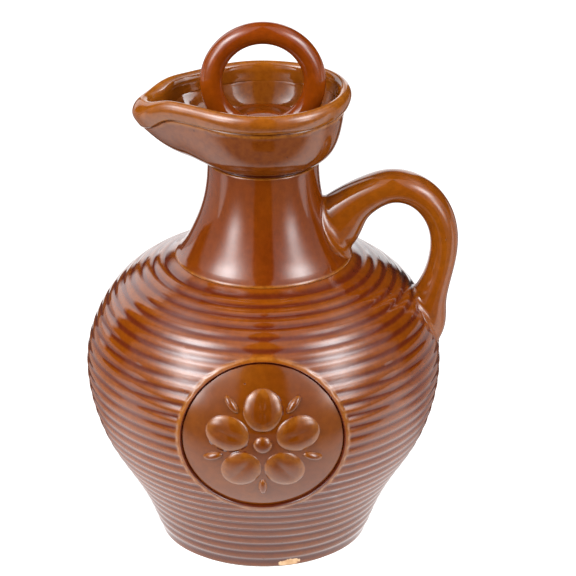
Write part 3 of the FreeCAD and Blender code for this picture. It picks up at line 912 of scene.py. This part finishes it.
def band_section(turn, widest, top, stretch, lip):
    wave = rim_uneven(turn, 0.0)
    top = top + 0.8 * wave
    melt, tuck, extra = lip_melt(lip)
    low = top - BAND_HEIGHT - 1.4 * extra + 1.2 * band_uneven(turn, 0.0)
    points = [
        (widest - ((BAND_PROUD + BAND_GROOVE + 0.1) * melt + tuck) * stretch, low + 0.25),
        (widest - ((BAND_PROUD + 0.25) * melt + tuck) * stretch, low + 0.12),
        (widest - (BAND_PROUD * 0.72 * melt + 0.72 * tuck) * stretch, low + 0.75),
        (widest - (0.22 + 0.16 * tuck) * stretch, top - 4.2 - 1.2 * extra),
        (widest, top - 2.6 - 1.2 * extra),
        (widest - 0.75 * stretch - 0.35 * extra, top - 0.75 - 0.25 * extra),
        (widest - 1.95 * stretch - 0.65 * extra, top),
        (widest - 3.2 * stretch - 0.9 * extra, top - 0.35),
        (widest - 3.95 * stretch - extra, top - 1.5),
        (widest - 4.25 * stretch - extra, top - 3.6),
        (widest - BAND_THICKNESS * stretch - extra, low - 0.15),
    ]
    line = smooth_line(points, 46)
    drop = top - line[:, 1]
    # Golden where the glaze runs thin on the band's lower edge and crown, and in part a painted highlight
    # along these edges.
    edge = np.exp(-((line[:, 1] - low - 0.5) / 0.5) ** 2) * (line[:, 0] > widest - 2.2 * stretch)
    crown = np.exp(-(drop / 0.7) ** 2)
    rows = [(r, z, 0.0, 0.20 + 0.65 * melt * e + 0.30 * c) for (r, z), e, c in zip(line, edge, crown)]
    rows.append((widest - (BAND_PROUD + BAND_GROOVE + 1.3) * stretch, low + 0.2, 1.0, 0.0))
    return rows


# ---------------------------------------------------------------- handle and stopper

def swept_bar(build, centres, frames, loops, supports, fillet, outer_share, sink):
    """A closed bar of loops along a line, flared where it meets its supports and trimmed inside them.

    The flare's radius is the fillet, and on the bar's outer side only a share of it.
    """
    rings = []
    for centre, axes, loop, fillet_here, share_here in zip(centres, frames, loops, fillet, outer_share):
        (across, side), (u, v) = axes, loop
        offset = u[:, None] * across + v[:, None] * side
        points = centre + offset
        grow = np.zeros(len(points))
        flare = fillet_here * (1 - (1 - share_here) * fade(u / u.max(), 0.0, 0.8))
        for support in supports:
            gap, _ = support.gap_to(points)
            near = np.clip(1 - gap / flare, 0, 0.995)
            grow = np.maximum(grow, flare * (1 - np.sqrt(1 - near ** 2)))
        lengths = np.linalg.norm(offset, axis=1)[:, None]
        points = centre + offset * (1 + grow[:, None] / lengths)
        pool = np.zeros(len(points))
        for support in supports:
            gap, outward = support.gap_to(points)
            deep = np.minimum(gap + sink, 0)
            points = points - outward * deep[:, None]
            pool = np.maximum(pool, np.exp(-np.maximum(gap, 0) / 0.5) * 0.7)
        rings.append(build.ring(points, pool))
    build.enclose(rings)


def build_handle(material):
    line = smooth_line(HANDLE_STATIONS, 240)
    middle = line[:, :2]
    along = np.gradient(middle, axis=0)
    along /= np.linalg.norm(along, axis=1)[:, None]
    centres = np.column_stack([middle[:, 0], np.zeros(len(middle)), middle[:, 1]])
    frames = [(np.array([-a[1], 0, a[0]]), np.array([0.0, 1.0, 0.0])) for a in along]
    around = even_turns(96)
    power = 2 / HANDLE_SQUARENESS
    u = np.abs(np.cos(around)) ** power * np.sign(np.cos(around))
    v = np.abs(np.sin(around)) ** power * np.sign(np.sin(around))
    uneven = Waver(61, 0.14, (1, 2, 3))
    loops = []
    for k, (half_thickness, half_width) in enumerate(line[:, 2:]):
        wave = uneven(around, k * 0.35)
        loops.append((u * (half_thickness + wave), v * (half_width + wave)))
    at_neck = middle[:, 0] < 45
    fillet = np.where(at_neck, NECK_FILLET, BODY_FILLET)
    outer_share = np.where(at_neck, 0.5, 0.3)
    build = Builder()
    swept_bar(build, centres, frames, loops, (neck_line, body_line), fillet, outer_share, 1.4)
    return build.make("strap_handle", "jug", "thin_glaze", material, "handle")


disc_top = Outline((
    (DISC_BOTTOM + 4.4, DISC_RADIUS), (DISC_BOTTOM + 5.8, DISC_RADIUS - 0.6),
    (DISC_BOTTOM + 6.4, DISC_RADIUS - DISC_ROUND), (DISC_BOTTOM + 6.55, 10.5),
    (DISC_BOTTOM + 7.4, 6.5), (DISC_BOTTOM + 7.85, 2.5), (DOME_TOP, 0.3),
), 400)


def build_ring(material):
    radius = RING_OUTER - RING_TUBE
    angles = np.linspace(-RING_REACH, RING_REACH, RING_STEPS)
    centres = np.column_stack([
        radius * np.sin(angles), np.zeros(RING_STEPS), RING_CENTRE + radius * np.cos(angles),
    ])
    frames = [(np.array([math.sin(a), 0, math.cos(a)]), np.array([0.0, 1.0, 0.0])) for a in angles]
    around = even_turns(72)
    uneven = Waver(71, 0.12, (1, 2, 3))
    loops = []
    for k in range(RING_STEPS):
        size = RING_TUBE + uneven(around, k * 0.3)
        loops.append((size * np.cos(around), size * np.sin(around)))
    build = Builder()
    fillet = RING_FILLET - (RING_FILLET - RING_END_FILLET) * fade(np.abs(angles), *RING_FILLET_FADE)
    swept_bar(build, centres, frames, loops, (disc_top,), fillet, np.full(RING_STEPS, 0.6), 1.2)
    return build.make("finger_ring", "stopper", "stopper_glaze", material, "stopper_ring")


def build_disc(material):
    turns = even_turns(192)
    build = Builder()
    flat = DISC_RADIUS - DISC_ROUND
    line = [(4.0, DISC_BOTTOM), (10.0, DISC_BOTTOM), (flat, DISC_BOTTOM)]
    for angle in np.linspace(0, math.pi / 2, 7)[1:]:
        rise = DISC_ROUND - DISC_ROUND * math.cos(angle)
        line.append((flat + DISC_ROUND * math.sin(angle), DISC_BOTTOM + rise))
    line += list(zip(disc_top.radius[::8], disc_top.height[::8]))[:-1]
    build.enclose([build.ring(round_axis(radius, height, turns)) for radius, height in line])
    return build.make("stopper_flange", "stopper", "stopper_glaze", material, "stopper_disc")


def build_plug(material):
    turns = even_turns(128)
    build = Builder()
    top = DISC_BOTTOM
    tip_radius = PLUG_RADIUS - 0.9
    line = [(3.0, top), (8.0, top), (PLUG_RADIUS - 0.2, top), (PLUG_RADIUS - 0.25, top - 0.6)]
    for share in np.linspace(0.05, 1.0, 16):
        line.append((PLUG_RADIUS - 0.25 - PLUG_TAPER * share, top - 0.6 - share * (top - 2.2 - PLUG_TIP)))
    for angle in np.linspace(0, math.pi / 2, 7)[1:]:
        inset, rise = PLUG_ROUND * (1 - math.cos(angle)), PLUG_ROUND * (1 - math.sin(angle))
        line.append((tip_radius - inset, PLUG_TIP + rise))
    line += [(6.0, PLUG_TIP), (2.0, PLUG_TIP)]
    uneven = Waver(81, 0.07, (1, 2, 3, 7))
    rings = []
    for radius, height in line:
        # Darker toward the plug's top, just under the flange.
        clay_darkening = 0.8 * fade(height, top - 3.0, top - 0.5)
        wide = radius + uneven(turns, height) * min(radius / 10, 1)
        rings.append(build.ring(round_axis(wide, height, turns), clay_darkening))
    build.enclose(rings)
    return build.make("clay_plug", "stopper", "bare_clay", material, "stopper_plug")


# ---------------------------------------------------------------- build

chip = ((8.8 * MM, -34.6 * MM, 2.2 * MM), (3.6 * MM, 1.6 * MM))
body_glaze = glaze("amber_glaze", (0.182, 0.0375, 0.0014), 0.45, (chip,), 0.55)
medallion_glaze = glaze("medallion_glaze", (0.156, 0.0345, 0.0012), 0.45)
neck_glaze = glaze("neck_glaze", (0.142, 0.0250, 0.0010), 0.55)
edge_glaze = glaze("thin_glaze", (0.208, 0.0475, 0.0020), 0.40)
stopper_glaze = glaze("stopper_glaze", (0.195, 0.0330, 0.0012), 0.60)
clay = bare_clay("bare_clay")

build_body(body_glaze)
build_foot(clay)
build_medallion(medallion_glaze)
build_emblem(medallion_glaze)
build_neck(neck_glaze)
build_loop("mouth_bowl", "neck_glaze", neck_glaze, "mouth_cup", bowl_section)
build_loop("rim", "thin_glaze", edge_glaze, "rim_band", band_section)
build_handle(edge_glaze)
build_plug(clay)
build_disc(stopper_glaze)
build_ring(stopper_glaze)


# ---------------------------------------------------------------- studio

# The floor's brightness in the glaze, by metres behind the jug's axis (Y): dark in front of the foot, bright
# under it, and behind it a bright fan inside the first two lines, dark, then grey outside the third. The
# dimming behind the jug and the dark strip are a painted shadow of the jug.
# A line is how far out it runs per metre back, and where it starts.
FLOOR_FRONT, FLOOR_BACK, FLOOR_BEYOND = (-0.135, -0.068), (-0.030, 0.075), (0.035, 0.065)
FLOOR_LINES = ((0.49, 0.029), (0.27, 0.046), (0.60, 0.046))
SEEN_WHITE = 1.15


def build_floor():
    """A pale floor that starts in front of the jug and runs back, glowing so that it stays white; in the
    glaze its glow carries a painted shadow behind the jug.
    """
    mesh = bpy.data.meshes.new("floor")
    near, far, wide, level = -0.19, 2.5, 2.5, -0.0003
    corners = [(-wide, near, level), (wide, near, level), (wide, far, level), (-wide, far, level)]
    mesh.from_pydata(corners, [], [(0, 1, 2, 3)])
    floor = bpy.data.objects.new("floor", mesh)
    bpy.context.scene.collection.objects.link(floor)
    material = bpy.data.materials.new("floor_white")
    material.use_nodes = True
    tree = material.node_tree
    tree.nodes.clear()
    output = new(tree, "OutputMaterial")
    glow = new(tree, "Emission")
    glow.inputs["Color"].default_value = (1.0, 0.985, 0.99, 1)
    path = new(tree, "LightPath")
    out, back, _ = separate(tree, new(tree, "TexCoord").outputs["Object"])
    # Painted shadow: the glow dims behind the jug and goes dark between the fan and the third line, standing
    # in for the jug's shadow.
    close = times(tree, ramp(tree, back, *FLOOR_FRONT, 0.3, 1.7), ramp(tree, back, *FLOOR_BACK, 1.0, 0.25))
    side = maths(tree, "ABSOLUTE", out)
    lines = []
    for slope, start in FLOOR_LINES:
        lines.append(maths(tree, "SUBTRACT", side, plus(tree, times(tree, back, slope), start)))
    fan = ramp(tree, larger(tree, lines[0], lines[1]), -0.002, 0.003, 1.3, 0.06)
    distant = larger(tree, fan, ramp(tree, lines[2], 0.0, 0.012, 0.0, 0.55))
    beyond = ramp(tree, back, *FLOOR_BEYOND)
    close = times(tree, close, maths(tree, "SUBTRACT", 1.0, beyond))
    shaded = plus(tree, close, times(tree, distant, beyond))
    strength = larger(tree, shaded, times(tree, path.outputs["Is Camera Ray"], SEEN_WHITE))
    tree.links.new(strength, glow.inputs["Strength"])
    tree.links.new(glow.outputs[0], output.inputs[0])
    mesh.materials.append(material)


# Soft lights in the surroundings: turn from the front and half width, elevation and half height, in degrees,
# then strength
SIDE_LIGHTS = ((-57, 20, 36, 14, 15.0), (58, 18, 36, 13, 12.5), (-52, 12, 10, 12, 8.0), (52, 11, 10, 12, 6.5))
HIGH_LIGHTS = ((-97, 40, 54, 13, 2.0), (97, 37, 54, 12, 1.5))


def build_world():
    """White surroundings to the camera; to the glaze, a dark front, lit sides and a white back."""
    world = bpy.data.worlds.new("studio")
    bpy.context.scene.world = world
    world.use_nodes = True
    tree = world.node_tree
    tree.nodes.clear()
    output = new(tree, "OutputWorld")
    background = new(tree, "Background")
    x, y, z = separate(tree, new(tree, "TexCoord").outputs["Generated"])
    turn = times(tree, maths(tree, "ARCTAN2", x, times(tree, y, -1.0)), 180 / math.pi)
    azimuth = maths(tree, "ABSOLUTE", turn)
    elevation = times(tree, maths(tree, "ARCSINE", z), 180 / math.pi)

    def window(value, start, rise, end, fall):
        """1 between start and end, with soft edges as wide as the rise and the fall."""
        low = ramp(tree, value, start - rise / 2, start + rise / 2)
        high = ramp(tree, value, end - fall / 2, end + fall / 2, 1.0, 0.0)
        return times(tree, low, high)

    def glow(at, half_width, height, half_height, strength):
        """A soft bright patch, strongest in its middle."""
        across = maths(tree, "DIVIDE", maths(tree, "SUBTRACT", turn, at), half_width)
        up = maths(tree, "DIVIDE", maths(tree, "SUBTRACT", elevation, height), half_height)
        far = plus(tree, times(tree, across, across), times(tree, up, up))
        return times(tree, maths(tree, "POWER", math.e, times(tree, far, -1.0)), strength)

    total = times(tree, window(azimuth, 17, 5, 103, 10), ramp(tree, elevation, -25, 60, 0.25, 0.95))
    for light in SIDE_LIGHTS:
        total = plus(tree, total, glow(*light))
    left_back = times(tree, window(turn, -156, 6, -128, 6), ramp(tree, elevation, -8, 12, 0.9, 1.8))
    left_back = times(tree, left_back, ramp(tree, elevation, 46, 38, 0.0, 1.0))
    wall = times(tree, ramp(tree, azimuth, 161, 165, 0.0, 2.0), ramp(tree, elevation, 28, 16, 0.0, 1.0))
    above = larger(tree, *[glow(*light) for light in HIGH_LIGHTS])
    back = larger(tree, left_back, wall)
    total = larger(tree, total, larger(tree, back, above))
    total = plus(tree, total, 0.02)
    path = new(tree, "LightPath")
    tinted = new(tree, "CombineColor")
    for channel, tint in enumerate((0.97, 0.98, 1.0)):
        tree.links.new(times(tree, total, tint), tinted.inputs[channel])
    white = (SEEN_WHITE, SEEN_WHITE, SEEN_WHITE, 1)
    seen = mix(tree, path.outputs["Is Camera Ray"], tinted.outputs[0], white)
    tree.links.new(seen, background.inputs["Color"])
    tree.links.new(background.outputs[0], output.inputs[0])


def build_camera():
    data = bpy.data.cameras.new("camera")
    data.lens = 250
    data.sensor_width = 36
    data.clip_end = 20
    camera = bpy.data.objects.new("camera", data)
    camera.location = (0.0083, -1.2352, 0.6427)
    camera.rotation_euler = (math.radians(65.85), 0, 0)
    bpy.context.scene.collection.objects.link(camera)
    bpy.context.scene.camera = camera


build_floor()
build_world()
build_camera()
bpy.context.scene.view_settings.view_transform = "Standard"
bpy.context.scene.view_settings.look = "None"
